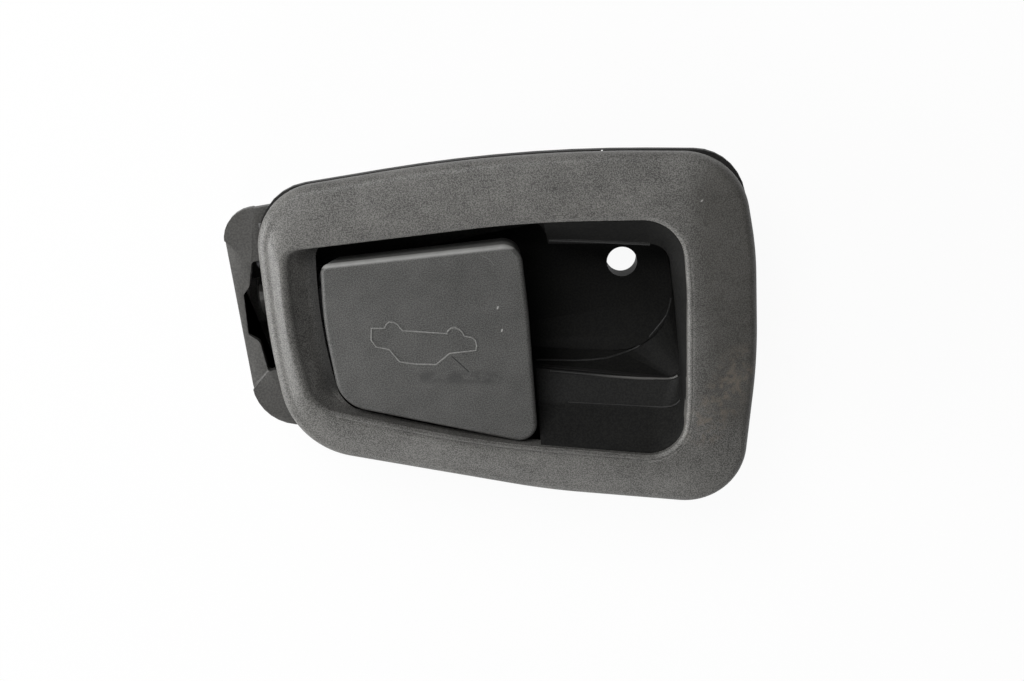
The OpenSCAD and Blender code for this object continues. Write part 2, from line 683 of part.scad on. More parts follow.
// Return spring: a hook on the arm, a close coil round the slim part of the hub, a leg on its post
coil_r = slim_r + 0.25 + wire_d / 2;
coil_pitch = wire_d + 0.08;
coil_y0 = arm_y1 + wire_d / 2 + 0.15;
spring_y1 = coil_y0 + (spring_turns + 0.25) * coil_pitch;
spring_post_x = pin_x + coil_r + 0.9;
spring_post_z = pin_z + coil_r - wire_d / 2 - 0.1;
hook_z = pin_z - 8.5;
arm_back_x = pin_x - hub_r + (cable_x - tip_r - pin_x + hub_r) * (pin_z - hook_z) / arm_len;
wire_x = arm_back_x - wire_d / 2 - 0.1;

function coil_point(a, y) = [pin_x + coil_r * cos(a), y, pin_z + coil_r * sin(a)];
wire_path = [
    [wire_x, cable_y, hook_z], [wire_x, coil_y0, hook_z],
    for (i = [0:16 * spring_turns + 4])
        coil_point(180 - 22.5 * i, coil_y0 + coil_pitch * i / 16),
    [spring_post_x + 1.4, spring_y1, pin_z + coil_r]];

// Round wire through the points of a path
module wire(path, r, sides = 6) {
    n = len(path);
    loft([for (i = [0:n - 1])
        let (t = unit(path[min(i + 1, n - 1)] - path[max(i - 1, 0)]))
        let (side = abs(t.y) > 0.8 ? [1, 0, 0] : [0, 1, 0], u = unit(cross(t, side)), w = cross(t, u))
        [for (k = [0:sides - 1]) path[i] + r * (u * cos(360 * k / sides) + w * sin(360 * k / sides))]]);
}

module return_spring() {
    color([0.7, 0.7, 0.72]) wire(wire_path, wire_d / 2);
}
return_spring();

// Rubber bumpers that end the lever's travel
bumper_r = 2.6;
bumper_stem_r = 1.5;
rest_bumper_z = pin_z - 11.5;
arm_front_x = pin_x + hub_r + (cable_x + tip_r - pin_x - hub_r) * (pin_z - rest_bumper_z + bumper_r) / arm_len;
open_tip = [
    pin_x + (cable_x - pin_x) * cos(open_angle) - arm_len * sin(open_angle),
    pin_z - (cable_x - pin_x) * sin(open_angle) - arm_len * cos(open_angle)];

module rest_bumper() {
    color([0.08, 0.08, 0.08]) {
        along_x(arm_front_x + 0.6, chamber_x1, cable_y, rest_bumper_z, bumper_r);
        along_x(chamber_x1 - eps, chamber_x1 + wall + 0.3, cable_y, rest_bumper_z, bumper_stem_r);
    }
}
rest_bumper();

module pull_bumper() {
    color([0.08, 0.08, 0.08]) {
        along_x(chamber_x0, open_tip.x - tip_r - 0.3, cable_y, open_tip.y, bumper_r);
        along_x(chamber_x0 - wall + 0.2, chamber_x0 + eps, cable_y, open_tip.y, bumper_stem_r);
    }
}
pull_bumper();

// Spring-steel panel clips, folded over the lower ends of the tabs
clip_t = 0.5;
clip_w = 9;

// Strip of thickness t along the points of a path
function strip(p, t) =
    let (n = len(p))
    let (d = [for (i = [0:n - 1]) let (v = unit(p[min(i + 1, n - 1)] - p[max(i - 1, 0)])) [-v.y, v.x] * t / 2])
    concat([for (i = [0:n - 1]) p[i] + d[i]], [for (i = [n - 1:-1:0]) p[i] - d[i]]);

// Path across the tab, s outwards and z up, as [s, z]
clip_s = tab_t / 2 + clip_t / 2 + 0.05;
clip_path = [
    [-clip_s, tab_low + 8], [-clip_s, tab_low - 0.1], [-clip_s * 0.72, tab_low - 0.6], [0, tab_low - 0.7],
    [clip_s * 0.8, tab_low - 0.6], [clip_s + 0.5, tab_low + 0.7], [clip_s + 1.5, tab_low + 4.4],
    [clip_s + 1.2, tab_low + 5.6], [clip_s + 0.1, tab_low + 7.4]];

module panel_clip(i) {
    color([0.55, 0.55, 0.56]) at_tab(i) translate([0, clip_w / 2, 0]) rotate([90, 0, 0])
        linear_extrude(clip_w) polygon(strip(clip_path, clip_t));
}
panel_clip(0);  // panel_clip_1
panel_clip(1);  // panel_clip_2
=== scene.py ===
import math

import bmesh
import bpy
from mathutils import Matrix, Vector


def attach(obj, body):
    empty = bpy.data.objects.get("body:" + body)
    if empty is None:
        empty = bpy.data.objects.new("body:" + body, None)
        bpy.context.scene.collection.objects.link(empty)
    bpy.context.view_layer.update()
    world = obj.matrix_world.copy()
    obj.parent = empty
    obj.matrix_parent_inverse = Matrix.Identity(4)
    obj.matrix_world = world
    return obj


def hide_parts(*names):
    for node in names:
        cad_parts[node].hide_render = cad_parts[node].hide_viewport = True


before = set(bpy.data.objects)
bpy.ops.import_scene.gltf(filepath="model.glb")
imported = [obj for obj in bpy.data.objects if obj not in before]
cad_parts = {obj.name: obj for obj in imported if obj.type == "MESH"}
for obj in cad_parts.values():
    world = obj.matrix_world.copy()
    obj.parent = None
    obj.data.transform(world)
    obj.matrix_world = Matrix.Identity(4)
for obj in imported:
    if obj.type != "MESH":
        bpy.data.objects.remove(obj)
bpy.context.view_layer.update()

scene = bpy.context.scene
scene.view_settings.view_transform = "Standard"

# Camera: close above the face, leaning 17 degrees towards the lower long side. The picture is
# turned so that the hinge end lies on its left.
eye = Vector((0.00784, -0.12274, 0.46825))
aim = Vector((0.03079, 0.00740, 0.03600))
picture_roll = math.radians(10)
forward = (aim - eye).normalized()
right = forward.cross(Vector((-math.sin(picture_roll), -math.cos(picture_roll), 0))).normalized()
upward = right.cross(forward)
camera = bpy.data.objects.new("camera", bpy.data.cameras.new("camera"))
camera.data.lens = 63.5
camera.data.clip_start = 0.01
camera.matrix_world = Matrix.Translation(eye) @ Matrix((right, upward, -forward)).transposed().to_4x4()
scene.collection.objects.link(camera)
scene.camera = camera


# Floor and light: a plain white sheet that keeps a faint shadow, a broad soft lamp low on the hinge
# side, two weaker ones along the long sides, and a little even light from all round.
class Shade:
    """One socket in a material's node tree. Sums and products of it add Math nodes."""

    def __init__(self, tree, socket=None):
        self.tree = tree
        self.socket = socket

    def node(self, kind, settings=None, inputs=None, pick=0):
        """A new node: its settings, its inputs set or linked, and the picked output given back."""
        made = self.tree.nodes.new("ShaderNode" + kind)
        for name, value in (settings or {}).items():
            setattr(made, name, value)
        for name, value in (inputs or {}).items():
            if isinstance(value, Shade):
                self.tree.links.new(value.socket, made.inputs[name])
            else:
                made.inputs[name].default_value = value
        return Shade(self.tree, made.outputs[pick] if made.outputs else None)

    def math(self, operation, first, second=0.0, clamp=False):
        return self.node("Math", {"operation": operation, "use_clamp": clamp}, {0: first, 1: second})

    def __add__(self, other):
        return self.math("ADD", self, other)

    def __sub__(self, other):
        return self.math("SUBTRACT", self, other)

    def __rsub__(self, other):
        return self.math("SUBTRACT", other, self)

    def __mul__(self, other):
        return self.math("MULTIPLY", self, other)

    __radd__ = __add__
    __rmul__ = __mul__

    def bigger(self, other):
        return self.math("MAXIMUM", self, other)

    def vector(self, operation, other, pick=0):
        return self.node("VectorMath", {"operation": operation}, {0: self, 1: other}, pick)

    def between(self, low, high):
        """0 at low, 1 at high, smooth between them."""
        return self.node("MapRange", {"interpolation_type": "SMOOTHSTEP"},
                         {"Value": self, "From Min": low, "From Max": high})

    def noise(self, size, detail=2.0, roughness=0.5, stretch=(1, 1, 1)):
        """Noise with blots of about the given size in metres, as a value from 0 to 1."""
        spot = self.vector("MULTIPLY", stretch)
        return self.node("TexNoise", {}, {"Vector": spot, "Scale": 1 / size, "Detail": detail,
                                          "Roughness": roughness})

    def near(self, start, end, inner, outer):
        """1 within inner of the line from start to end, 0 beyond outer, all in metres."""
        along = Vector(end) - Vector(start)
        from_start = self.vector("SUBTRACT", start)
        share = from_start.vector("DOT_PRODUCT", along / along.length_squared, pick=1)
        share = share.math("ADD", share, 0.0, clamp=True)
        foot = self.node("CombineXYZ", {}, {0: share * along.x, 1: share * along.y, 2: share * along.z})
        return from_start.vector("DISTANCE", foot, pick=1).between(outer, inner)

    def blend(self, low, high):
        """Colour low where this is 0, high where it is 1."""
        return self.node("Mix", {"data_type": "RGBA"}, {0: self, 6: low, 7: high}, pick=2)

    def finish(self, surface):
        self.node("OutputMaterial", {}, {"Surface": surface})


def new_material(name):
    made = bpy.data.materials.new(name)
    made.use_nodes = True
    made.node_tree.nodes.clear()
    return made, Shade(made.node_tree)


floor_half = 3.0
floor_drop = 0.0003
sheet_share = 0.94
floor_mesh = bpy.data.meshes.new("floor")
floor_mesh.from_pydata([(-floor_half, -floor_half, 0), (floor_half, -floor_half, 0),
                        (floor_half, floor_half, 0), (-floor_half, floor_half, 0)], [], [(0, 1, 2, 3)])
floor = bpy.data.objects.new("floor", floor_mesh)
floor.location.z = -floor_drop
scene.collection.objects.link(floor)
floor_material, paint = new_material("white_sheet")
paper = paint.node("BsdfDiffuse", {}, {"Color": (0.86, 0.86, 0.86, 1)})
white = paint.node("Emission", {}, {"Color": (1, 1, 1, 1), "Strength": 1.0})
seen = paint.node("LightPath", pick="Is Camera Ray").bigger(paint.node("LightPath", pick="Is Glossy Ray"))
paint.finish(paint.node("MixShader", {}, {0: seen * sheet_share, 1: paper, 2: white}))
floor.data.materials.append(floor_material)

lamp_centre = Vector((0.03, 0.0, 0.03))
lamp_distance = 1.2


def soft_lamp(name, direction, size, power):
    """Round soft lamp that shines on the handle from the given direction."""
    lamp = bpy.data.objects.new(name, bpy.data.lights.new(name, "AREA"))
    lamp.data.shape = "DISK"
    lamp.data.size = size
    lamp.data.energy = power
    away = Vector(direction).normalized()
    turn = away.to_track_quat("Z", "Y").to_matrix().to_4x4()
    lamp.matrix_world = Matrix.Translation(lamp_centre + away * lamp_distance) @ turn
    scene.collection.objects.link(lamp)


soft_lamp("key_lamp", (0.95, -0.05, 0.24), 0.8, 17.0)
soft_lamp("low_side_lamp", (0.22, -0.62, 0.76), 0.7, 10.0)
soft_lamp("tall_side_lamp", (0.30, 0.85, 0.40), 0.8, 5.0)
world = bpy.data.worlds.new("room")
world.use_nodes = True
room_light = world.node_tree.nodes["Background"].inputs
room_light["Color"].default_value = (1, 1, 1, 1)
room_light["Strength"].default_value = 0.09
scene.world = world


# Bezel: the crowned frame that shows in the door trim, moulded in matt black plastic with a fine
# spark-eroded grain, with the pocket's upper walls in one piece with it. It snaps onto the housing.
mm = 0.001
pocket_end, low_side, tall_side = -33.0, -39.5, 63.0
crown_z = 36.0
rim_fall = 0.2
face_swell = 0.8
rim_width = 1.6
shoulder_z = 33.9
shoulder_r = 2.8
shoulder_steps = 8
shoulder_step_turn = 9.5
crease_turn = 50
rear_z = 29.2
lip_z = 30.2
bezel_wall = 2.2
slope_run = 4.4
shelf_runs = (7.0, 6.2, 6.6)
outer_corners = [(88, -39.5, 16), (91.5, -0.5, 210), (91, 27, 21.5), (29, 50, 190), (-19.5, 63, 15.5),
                 (-29.5, 24, 150), (-33, -4, 90), (-32.5, -29, 17), (22, -39, 380)]
crest_corners = [(82, -24.9, 4), (85, -4.5, 130), (83.5, 16.3, 9.5), (44.5, 32.85, 290), (-7, 46.5, 9.5),
                 (-10.5, 30.5, 100), (-14.5, 3, 80), (-16, -15.9, 11), (22, -21.9, 280)]


def slid(corner, towards, run):
    """The corner moved along its side until it is run further from the hinge end."""
    slope = (towards[1] - corner[1]) / (corner[0] - towards[0])
    return (corner[0] - run, corner[1] + slope * run, corner[2])


def hinge_end_slid(low_run, middle_run, tall_run):
    """The crest's corner list with its three hinge-end corners slid inwards."""
    x, y, radius = crest_corners[1]
    return [slid(crest_corners[0], crest_corners[8], low_run), (x - middle_run, y, radius),
            slid(crest_corners[2], crest_corners[3], tall_run)] + crest_corners[3:]


lip_corners = hinge_end_slid(slope_run, slope_run, slope_run)


def moved_in(corners, depth):
    """Corner list with every side moved inwards by depth."""
    result = []
    for i, (x, y, radius) in enumerate(corners):
        here = Vector((x, y))
        back = (Vector(corners[i - 1][:2]) - here).normalized()
        ahead = (Vector(corners[(i + 1) % len(corners)][:2]) - here).normalized()
        side = 1 if ahead.x * back.y - ahead.y * back.x > 0 else -1
        half = back.angle(ahead) / 2
        place = here + (back + ahead).normalized() * side * depth / math.sin(half)
        result.append((place.x, place.y, max(radius - side * depth, 0.6)))
    return result


def ring(corners, depth, z, steps=18):
    """Closed outline at height z, its corners rounded with the given number of steps."""
    corners = moved_in(corners, depth)
    points = []
    for i, (x, y, radius) in enumerate(corners):
        here = Vector((x, y))
        back = (Vector(corners[i - 1][:2]) - here).normalized()
        ahead = (Vector(corners[(i + 1) % len(corners)][:2]) - here).normalized()
        half = back.angle(ahead) / 2
        centre = here + (back + ahead).normalized() * radius / math.sin(half)
        first = here + back * radius / math.tan(half) - centre
        last = here + ahead * radius / math.tan(half) - centre
        start = math.atan2(first.y, first.x)
        turn = (math.atan2(last.y, last.x) - start + math.pi) % (2 * math.pi) - math.pi
        for k in range(steps + 1):
            angle = start + turn * k / steps
            points.append(Vector((centre.x + radius * math.cos(angle),
                                  centre.y + radius * math.sin(angle), z)))
    return points


def mixed(one, other, share):
    return [a.lerp(b, share) for a, b in zip(one, other)]


def skin(name, rings, frame_section=False):
    """Mesh through rings of points in mm. A frame section closes on itself, else both ends are capped."""
    count = len(rings[0])
    points = [p * mm for r in rings for p in r]
    faces = []
    for k in range(len(rings) if frame_section else len(rings) - 1):
        low, high = k * count, (k + 1) % len(rings) * count
        faces += [(low + i, low + (i + 1) % count, high + (i + 1) % count, high + i) for i in range(count)]
    if not frame_section:
        faces.append(tuple(range(count))[::-1])
        faces.append(tuple(range(len(points) - count, len(points))))
    mesh = bpy.data.meshes.new(name)
    mesh.from_pydata(points, [], faces)
    tidy = bmesh.new()
    tidy.from_mesh(mesh)
    bmesh.ops.recalc_face_normals(tidy, faces=tidy.faces)
    tidy.to_mesh(mesh)
    tidy.free()
    made = bpy.data.objects.new(name, mesh)
    scene.collection.objects.link(made)
    return made


def prism(name, plan, low_z, high_z):
    """Upright prism over a plan of corners in mm."""
    return skin(name, [[Vector((x, y, z)) for x, y in plan] for z in (low_z, high_z)])


def block(name, low, high):
    """Box from its low to its high corner in mm, to cut or keep part of a mesh with."""
    plan = ((low[0], low[1]), (high[0], low[1]), (high[0], high[1]), (low[0], high[1]))
    return prism(name, plan, low[2], high[2])


def settle(piece):
    """Applies the modifiers of a piece to its mesh."""
    bpy.context.view_layer.update()
    final = bpy.data.meshes.new_from_object(piece.evaluated_get(bpy.context.evaluated_depsgraph_get()))
    piece.modifiers.clear()
    piece.data = final


def combine(piece, tool, operation):
    change = piece.modifiers.new("combine", "BOOLEAN")
    change.operation = operation
    change.object = tool
    change.solver = "EXACT"
    settle(piece)
    bpy.data.objects.remove(tool)


def soft_edges(piece, width, angle):
    """Rounds the edges of a mesh by width in mm and shades it smooth between them."""
    bevel = piece.modifiers.new("soft_edges", "BEVEL")
    bevel.width = width * mm
    bevel.segments = 2
    bevel.limit_method = "ANGLE"
    bevel.angle_limit = math.radians(angle)
    bevel.harden_normals = False
    settle(piece)
    smooth(piece, angle)


def smooth(piece, angle):
    """Smooth shading over every edge that turns by less than angle in degrees."""
    piece.data.shade_smooth()
    piece.data.set_sharp_from_angle(angle=math.radians(angle))


def fitted(piece, body, slot, material, *nodes):
    """Puts the material on a piece, hides its CAD nodes and hands the piece to its body. The slot is not
    used.
    """
    piece.data.materials.clear()
    piece.data.materials.append(material)
    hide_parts(*nodes)
    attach(piece, body)


def crown_height(share):
    """Height of the face between the shoulder (share 0) and the opening's rim (share 1)."""
    return shoulder_z + (crown_z - rim_fall - shoulder_z) * share + face_swell * share * (1 - share)


shoulder_ring = ring(outer_corners, shoulder_r, 0)
rim_ring = ring(crest_corners, -rim_width, 0)
bezel_rings = [ring(outer_corners, 0.3, rear_z), ring(outer_corners, 0.08, rear_z + 0.3),
               ring(outer_corners, 0, rear_z + 0.8)]
for step in range(shoulder_steps + 1):
    bend = math.radians(step * shoulder_step_turn)
    bezel_rings.append(ring(outer_corners, shoulder_r * (1 - math.cos(bend)),
                            shoulder_z - shoulder_r * (1 - math.sin(bend))))
for share in (0.03, 0.1, 0.2, 0.32, 0.45, 0.58, 0.7, 0.82, 0.92):
    level = mixed(shoulder_ring, rim_ring, share)
    bezel_rings.append([Vector((p.x, p.y, crown_height(share))) for p in level])


# The rim's edge at the opening: a fine bead inside a groove on the tall side, faint at the pocket end,
# a rounded edge on the low side, and a soft turn into the slope at the hinge end
def ramp(value, start, end):
    share = min(max((value - start) / (end - start), 0), 1)
    return share * share * (3 - 2 * share)


beaded = [ramp(p.y, -14, -7) * ramp(p.x, 76, 69) * (0.2 + 0.8 * ramp(p.x, -8, 6)) for p in rim_ring]
sloping = [ramp(p.x, 75, 80) for p in rim_ring]
for depth, bead_drop, round_drop, soft_drop in (
        (-rim_width, rim_fall, rim_fall, rim_fall), (-1.4, 0.3, 0.18, 0.18), (-1.25, 0.5, 0.17, 0.16),
        (-1.1, 0.58, 0.17, 0.16), (-0.95, 0.4, 0.19, 0.17), (-0.78, 0.12, 0.22, 0.19),
        (-0.6, 0.0, 0.29, 0.23), (-0.4, 0.06, 0.38, 0.29), (-0.2, 0.24, 0.5, 0.37), (0.0, 0.6, 0.66, 0.48)):
    level = ring(crest_corners, depth, crown_z)
    for p, bead, slope in zip(level, beaded, sloping):
        p.z -= bead * bead_drop + (1 - bead) * (slope * soft_drop + (1 - slope) * round_drop)
    bezel_rings.append(level)
for share, drop in ((0.03, 0.75), (0.08, 1.2), (0.25, 2.0), (0.5, 3.3), (0.75, 4.5), (1.0, 5.5)):
    bezel_rings.append(mixed(ring(crest_corners, 0.2, crown_z - drop),
                             ring(lip_corners, 0.35, crown_z - drop), share))

# At the hinge end the slope ends in a thin shelf that runs in under the paddle's edge
shelf_corners = hinge_end_slid(*shelf_runs)
bezel_rings += [ring(shelf_corners, 0.1, lip_z + 0.48), ring(shelf_corners, 0, lip_z + 0.3),
                ring(shelf_corners, 0, lip_z + 0.12), ring(lip_corners, 0, lip_z),
                ring(lip_corners, 0.6 - bezel_wall, lip_z),
                ring(crest_corners, -bezel_wall, crown_z - 1.1 * bezel_wall),
                ring(outer_corners, 1.2 * bezel_wall, shoulder_z - bezel_wall),
                ring(outer_corners, bezel_wall, rear_z)]
bezel = skin("bezel_frame", bezel_rings, frame_section=True)
smooth(bezel, crease_turn)

# The pocket's upper tier: corner lists of its clear inside, from the crest down
tier_cut = 18
tier_x = 42
tier_low_z = 18.8
tier_top = [(tier_x, low_side + 14.4, 1), (tier_x, tall_side - 28.8, 1)] + crest_corners[4:8]
tier_band = [(tier_x, low_side + 21.3, 1), (tier_x, tall_side - 37.3, 1),
             (pocket_end + 23.9, tall_side - 25.1, 6), (pocket_end + 22.6, tall_side - 39, 60),
             (pocket_end + 21.2, low_side + 42, 60), (pocket_end + 20.4, low_side + 31.2, 7)]
tier_fold = [(tier_x, low_side + 22.8, 1), (tier_x, tall_side - 38.3, 1),
             (pocket_end + 24.2, tall_side - 26.2, 5), (pocket_end + 22.7, tall_side - 40, 60),
             (pocket_end + 21.3, low_side + 42, 60), (pocket_end + 20.6, low_side + 32.5, 6)]
tier_edge = [(tier_x, low_side + 23.4, 1), (tier_x, tall_side - 46.6, 1),
             (pocket_end + 22.1, tall_side - 31.8, 3.5), (pocket_end + 21.8, tall_side - 42, 60),
             (pocket_end + 21.3, low_side + 42, 60), (pocket_end + 20.8, low_side + 33, 6)]


def tier_space(name, grow, drop):
    """The tier's inside, its sides moved out by grow and its steps down by drop."""
    levels = [(tier_edge, -grow, 17.0), (tier_edge, -grow, 20 - drop), (tier_fold, -grow, 23 - drop),
              (tier_band, -grow, 24 - drop * 0.6), (tier_top, -grow * 0.75, crown_z - 1.1 - drop),
              (tier_top, -grow * 0.75, crown_z + 3 if drop == 0 else crown_z - 2.2)]
    return skin(name, [ring(corners, depth, z, 14) for corners, depth, z in levels])


pocket_walls = tier_space("pocket_walls", bezel_wall, bezel_wall)
# Of the tier only what shows is kept: its pocket end, and on the tall side the wall and the ledge
# below it as far as the paddle's slanted edge
keep = block("keep", (-38, -45, tier_low_z), (tier_cut, 68, crown_z))
side_plan = ((-37, 8), (25.7, 8), (28.5, 37), (29.1, 67.5), (-37, 67.5))
combine(keep, prism("side_wall", side_plan, 18.9, crown_z + 0.2), "UNION")
combine(keep, block("ledge", (-38, 9, tier_low_z), (26, 67, 23.9)), "UNION")
combine(pocket_walls, keep, "INTERSECT")
combine(pocket_walls, tier_space("tier_inside", 0, 0), "DIFFERENCE")
smooth(pocket_walls, 24)


def plastic(name, dark, light, roughness, grain, grain_height, marks=None, gloss=0.45):
    """Matt moulded plastic: surface grain, faint mottling, and the marks and painted light it is given."""
    made, paint = new_material(name)
    spot = paint.node("TexCoord", pick="Object")
    fine = spot.noise(grain, 2.0, 0.7)
    cloud = spot.noise(0.016, 3.0, 0.55)
    patch = spot.noise(0.0045, 2.0, 0.5)
    tone = fine.between(0.40, 0.60) * 0.72 + cloud.between(0.3, 0.7) * 0.16
    tone = tone + patch.between(0.3, 0.7) * 0.12
    colour = tone.blend((*dark, 1), (*light, 1))
    sheen = roughness - 0.05 + cloud * 0.1
    if marks:
        colour, sheen = marks(spot, colour, sheen)
    bumps = paint.node("Bump", {}, {"Height": fine + spot.noise(grain * 2.6, 1.0) * 0.6, "Strength": 1.0,
                                    "Distance": grain_height})
    body = paint.node("BsdfPrincipled", {}, {"Base Color": colour, "Roughness": sheen, "Normal": bumps,
                                             "Specular IOR Level": gloss})
    paint.finish(body)
    return made


def raised_line(name, points, closed, radius, sink):
    """A fine moulded ridge along points on a surface, a round bead sunk into it, sizes in mm."""
    line = bpy.data.curves.new(name, "CURVE")
    line.dimensions = "3D"
    line.bevel_depth = radius * mm
    line.bevel_resolution = 3
    line.use_fill_caps = True
    course = line.splines.new("POLY")
    course.points.add(len(points) - 1)
    for point, (x, y, z) in zip(course.points, points):
        point.co = (x * mm, y * mm, (z - sink) * mm, 1)
    course.use_cyclic_u = closed
    bead = bpy.data.objects.new(name, line)
    scene.collection.objects.link(bead)
    bpy.context.view_layer.update()
    mesh = bpy.data.meshes.new_from_object(bead.evaluated_get(bpy.context.evaluated_depsgraph_get()))
    bpy.data.objects.remove(bead)
    made = bpy.data.objects.new(name, mesh)
    scene.collection.objects.link(made)
    made.data.shade_smooth()
    return made


def bezel_wear_and_shade(spot, colour, sheen):
    """Light rubbing along the rim, a brown scuff on the pocket end, a rubbed corner and fine nicks, with
    painted shade over the rim at the pocket end and in the gap by the paddle."""
    rubbed = spot.near((0.0136, -0.0220, 0.035), (-0.0091, -0.0243, 0.035), 0.0005, 0.004)
    rubbed = rubbed * spot.noise(0.0012, 3.0, 0.6, (1, 3, 1)).between(0.5, 0.7)
    colour = (rubbed * 0.35).blend(colour, (0.32, 0.31, 0.29, 1))
    # Painted shade: the rim at the pocket end is darkened
    pocket_end_shade = spot.near((-0.0275, -0.0200, 0.035), (-0.0235, 0.0330, 0.035), 0.0045, 0.0125)
    colour = (pocket_end_shade * 0.55).blend(colour, (0.048, 0.045, 0.040, 1))
    # Painted shade in the gap by the paddle's hinge end
    gap_shade = spot.near((0.0757, -0.0205, 0.0305), (0.0778, 0.0120, 0.0305), 0.0006, 0.0052)
    colour = (gap_shade * 0.75).blend(colour, (0.012, 0.012, 0.012, 1))
    edge = spot.near((-0.0081, -0.0339, 0.034), (-0.0270, -0.0285, 0.034), 0.0001, 0.0011).bigger(
        spot.near((-0.0270, -0.0285, 0.034), (-0.0301, -0.0242, 0.034), 0.0001, 0.0011))
    edge = edge * spot.noise(0.001, 3.0, 0.6).between(0.3, 0.6)
    colour = (edge * 0.4).blend(colour, (0.30, 0.29, 0.28, 1))
    for place in ((0.0749, -0.0227, 0.0352), (0.0688, -0.0257, 0.0350), (-0.0265, 0.0266, 0.0345),
                  (0.0436, -0.0262, 0.0350), (-0.0214, -0.0196, 0.0351)):
        nick = spot.near(place, (place[0] + 0.0003, place[1] + 0.0002, place[2]), 0.00012, 0.00032)
        colour = (nick * 0.7).blend(colour, (0.52, 0.51, 0.49, 1))
    brown = spot.near((-0.0136, 0.0384, 0.035), (-0.0250, 0.0249, 0.035), 0.001, 0.0075)
    brown = brown * spot.noise(0.0022, 3.0, 0.6).between(0.42, 0.68)
    colour = (brown * 0.5).blend(colour, (0.20, 0.165, 0.13, 1))
    return colour, sheen + rubbed * 0.05


bezel_plastic = plastic("bezel_plastic", (0.038, 0.037, 0.034), (0.190, 0.186, 0.176), 0.5, 0.00030,
                        0.00005, bezel_wear_and_shade)
fitted(bezel, "body", "bezel_plastic", bezel_plastic, "bezel")

# Five snap hooks under the rim, which catch behind the housing's flange
hook_half = 4
hook_side = ((-1.6, 24.7), (0.0, 24.7), (0.9, 26.3), (0.0, 26.3), (0.0, 32.4), (-1.6, 32.4))
hooks = None
for x, y, outward in ((5, -33.7, -90), (60, -35.9, -90), (62, 33.4, 70), (2, 54, 75), (-25.4, 20, 192)):
    turn = Matrix.Translation((x, y, 0)) @ Matrix.Rotation(math.radians(outward), 4, "Z")
    hook = skin("bezel_hooks", [[turn @ Vector((out, across, z)) for out, z in hook_side]
                                for across in (-hook_half, hook_half)])
    if hooks:
        combine(hooks, hook, "UNION")
    else:
        hooks = hook
soft_edges(hooks, 0.15, 30)
fitted(hooks, "body", "bezel_plastic", bezel_plastic)
# The pocket's upper walls get a much darker plastic than the bezel they are moulded with: painted shade of
# the recess
shaded_pocket_plastic = plastic("shaded_pocket_plastic", (0.006, 0.006, 0.006), (0.016, 0.016, 0.015), 0.6, 0.0005,
                         0.00003, gloss=0.2)
fitted(pocket_walls, "body", "housing_plastic", shaded_pocket_plastic)


# Fine mould lines inside the pocket: along the floor's turn, the step above it and the wall's turns.
# Their paler plastic is a painted highlight, light catching the moulded edges.
def line_highlight(spot, colour, sheen):
    """Painted highlight: the mould line is paler towards the pocket's closed corner."""
    pale = spot.near((-0.0088, 0.0296, 0.0195), (-0.0020, 0.0287, 0.0198), 0.003, 0.019)
    return (pale * 0.8).blend(colour, (0.15, 0.148, 0.142, 1)), sheen


lit_line_plastic = plastic("lit_line_plastic", (0.012, 0.012, 0.012), (0.024, 0.024, 0.023), 0.5, 0.0005, 0.00001)
lit_step_plastic = plastic("lit_step_plastic", (0.016, 0.016, 0.016), (0.028, 0.028, 0.027), 0.5, 0.0005,
                       0.00001, line_highlight)
floor_line = [(26.7, 20.6, 13.5), (21.5, 21.9, 12.5), (16.2, 23.3, 11.5), (12.1, 23.9, 11.1),
              (8.2, 24.4, 10.3), (5.4, 24.4, 9.2), (2.7, 24.3, 8.1), (0.3, 23.9, 7.5), (-2.1, 23.0, 7.0),
              (-4.1, 21.3, 7.2), (-6.2, 19.5, 7.0), (-7.9, 18.0, 6.8), (-9.4, 16.4, 6.6),
              (-10.5, 14.4, 6.4), (-11.3, 12.1, 6.4)]
step_line = [(23.3, 22.1, 20.2), (13.7, 24.75, 20.2), (8.2, 26.3, 20.2), (1.0, 28.1, 20.1),
             (-4.6, 29.4, 19.7), (-6.7, 30.0, 19.1), (-8.3, 30.0, 19.0), (-9.4, 29.5, 19.2)]
wall_line = [(20.0, 30.3, 23.4), (11.9, 32.2, 23.35), (1.7, 34.6, 23.3), (-3.8, 35.9, 23.4),
             (-6.2, 35.9, 23.9), (-7.8, 35.2, 24.6), (-8.9, 34.1, 25.3)]
low_line = [(17.6, -13.6, 23.7), (9.9, -12.0, 23.7), (0.0, -9.7, 23.4), (-7.4, -7.95, 23.1)]
for name, course, radius, sink, material in (
        ("floor_line", floor_line, 0.34, 0.16, lit_line_plastic),
        ("step_line", step_line, 0.38, 0.12, lit_step_plastic),
        ("wall_line", wall_line, 0.26, 0.13, lit_line_plastic),
        ("low_line", low_line, 0.6, 0.3, lit_step_plastic)):
    fitted(raised_line(name, course, False, radius, sink), "body", "housing_plastic", material)


# Housing, pocket tub and hinge frame: the plain black mouldings behind the bezel. The housing is the
# flange that the bezel snaps over, the tub is the finger pocket's floor with the fixing boss, and the
# frame carries the hinge.
def soft_copy(node, width):
    """A copy of a CAD node's mesh with its flat faces whole and its edges rounded by width in mm."""
    piece = bpy.data.objects.new(node + "_moulded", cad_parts[node].data.copy())
    scene.collection.objects.link(piece)
    shape = bmesh.new()
    shape.from_mesh(piece.data)
    bmesh.ops.remove_doubles(shape, verts=shape.verts, dist=0.000002)
    bmesh.ops.dissolve_limit(shape, angle_limit=math.radians(0.4), verts=shape.verts, edges=shape.edges)
    shape.to_mesh(piece.data)
    shape.free()
    soft_edges(piece, width, 28)
    return piece


moulded_edge = 0.25
housing_plastic = plastic("housing_plastic", (0.012, 0.012, 0.012), (0.024, 0.023, 0.022), 0.55, 0.0006,
                          0.000015, gloss=0.3)
for node in ("housing", "hinge_frame"):
    fitted(soft_copy(node, moulded_edge), "body", "housing_plastic", housing_plastic, node)
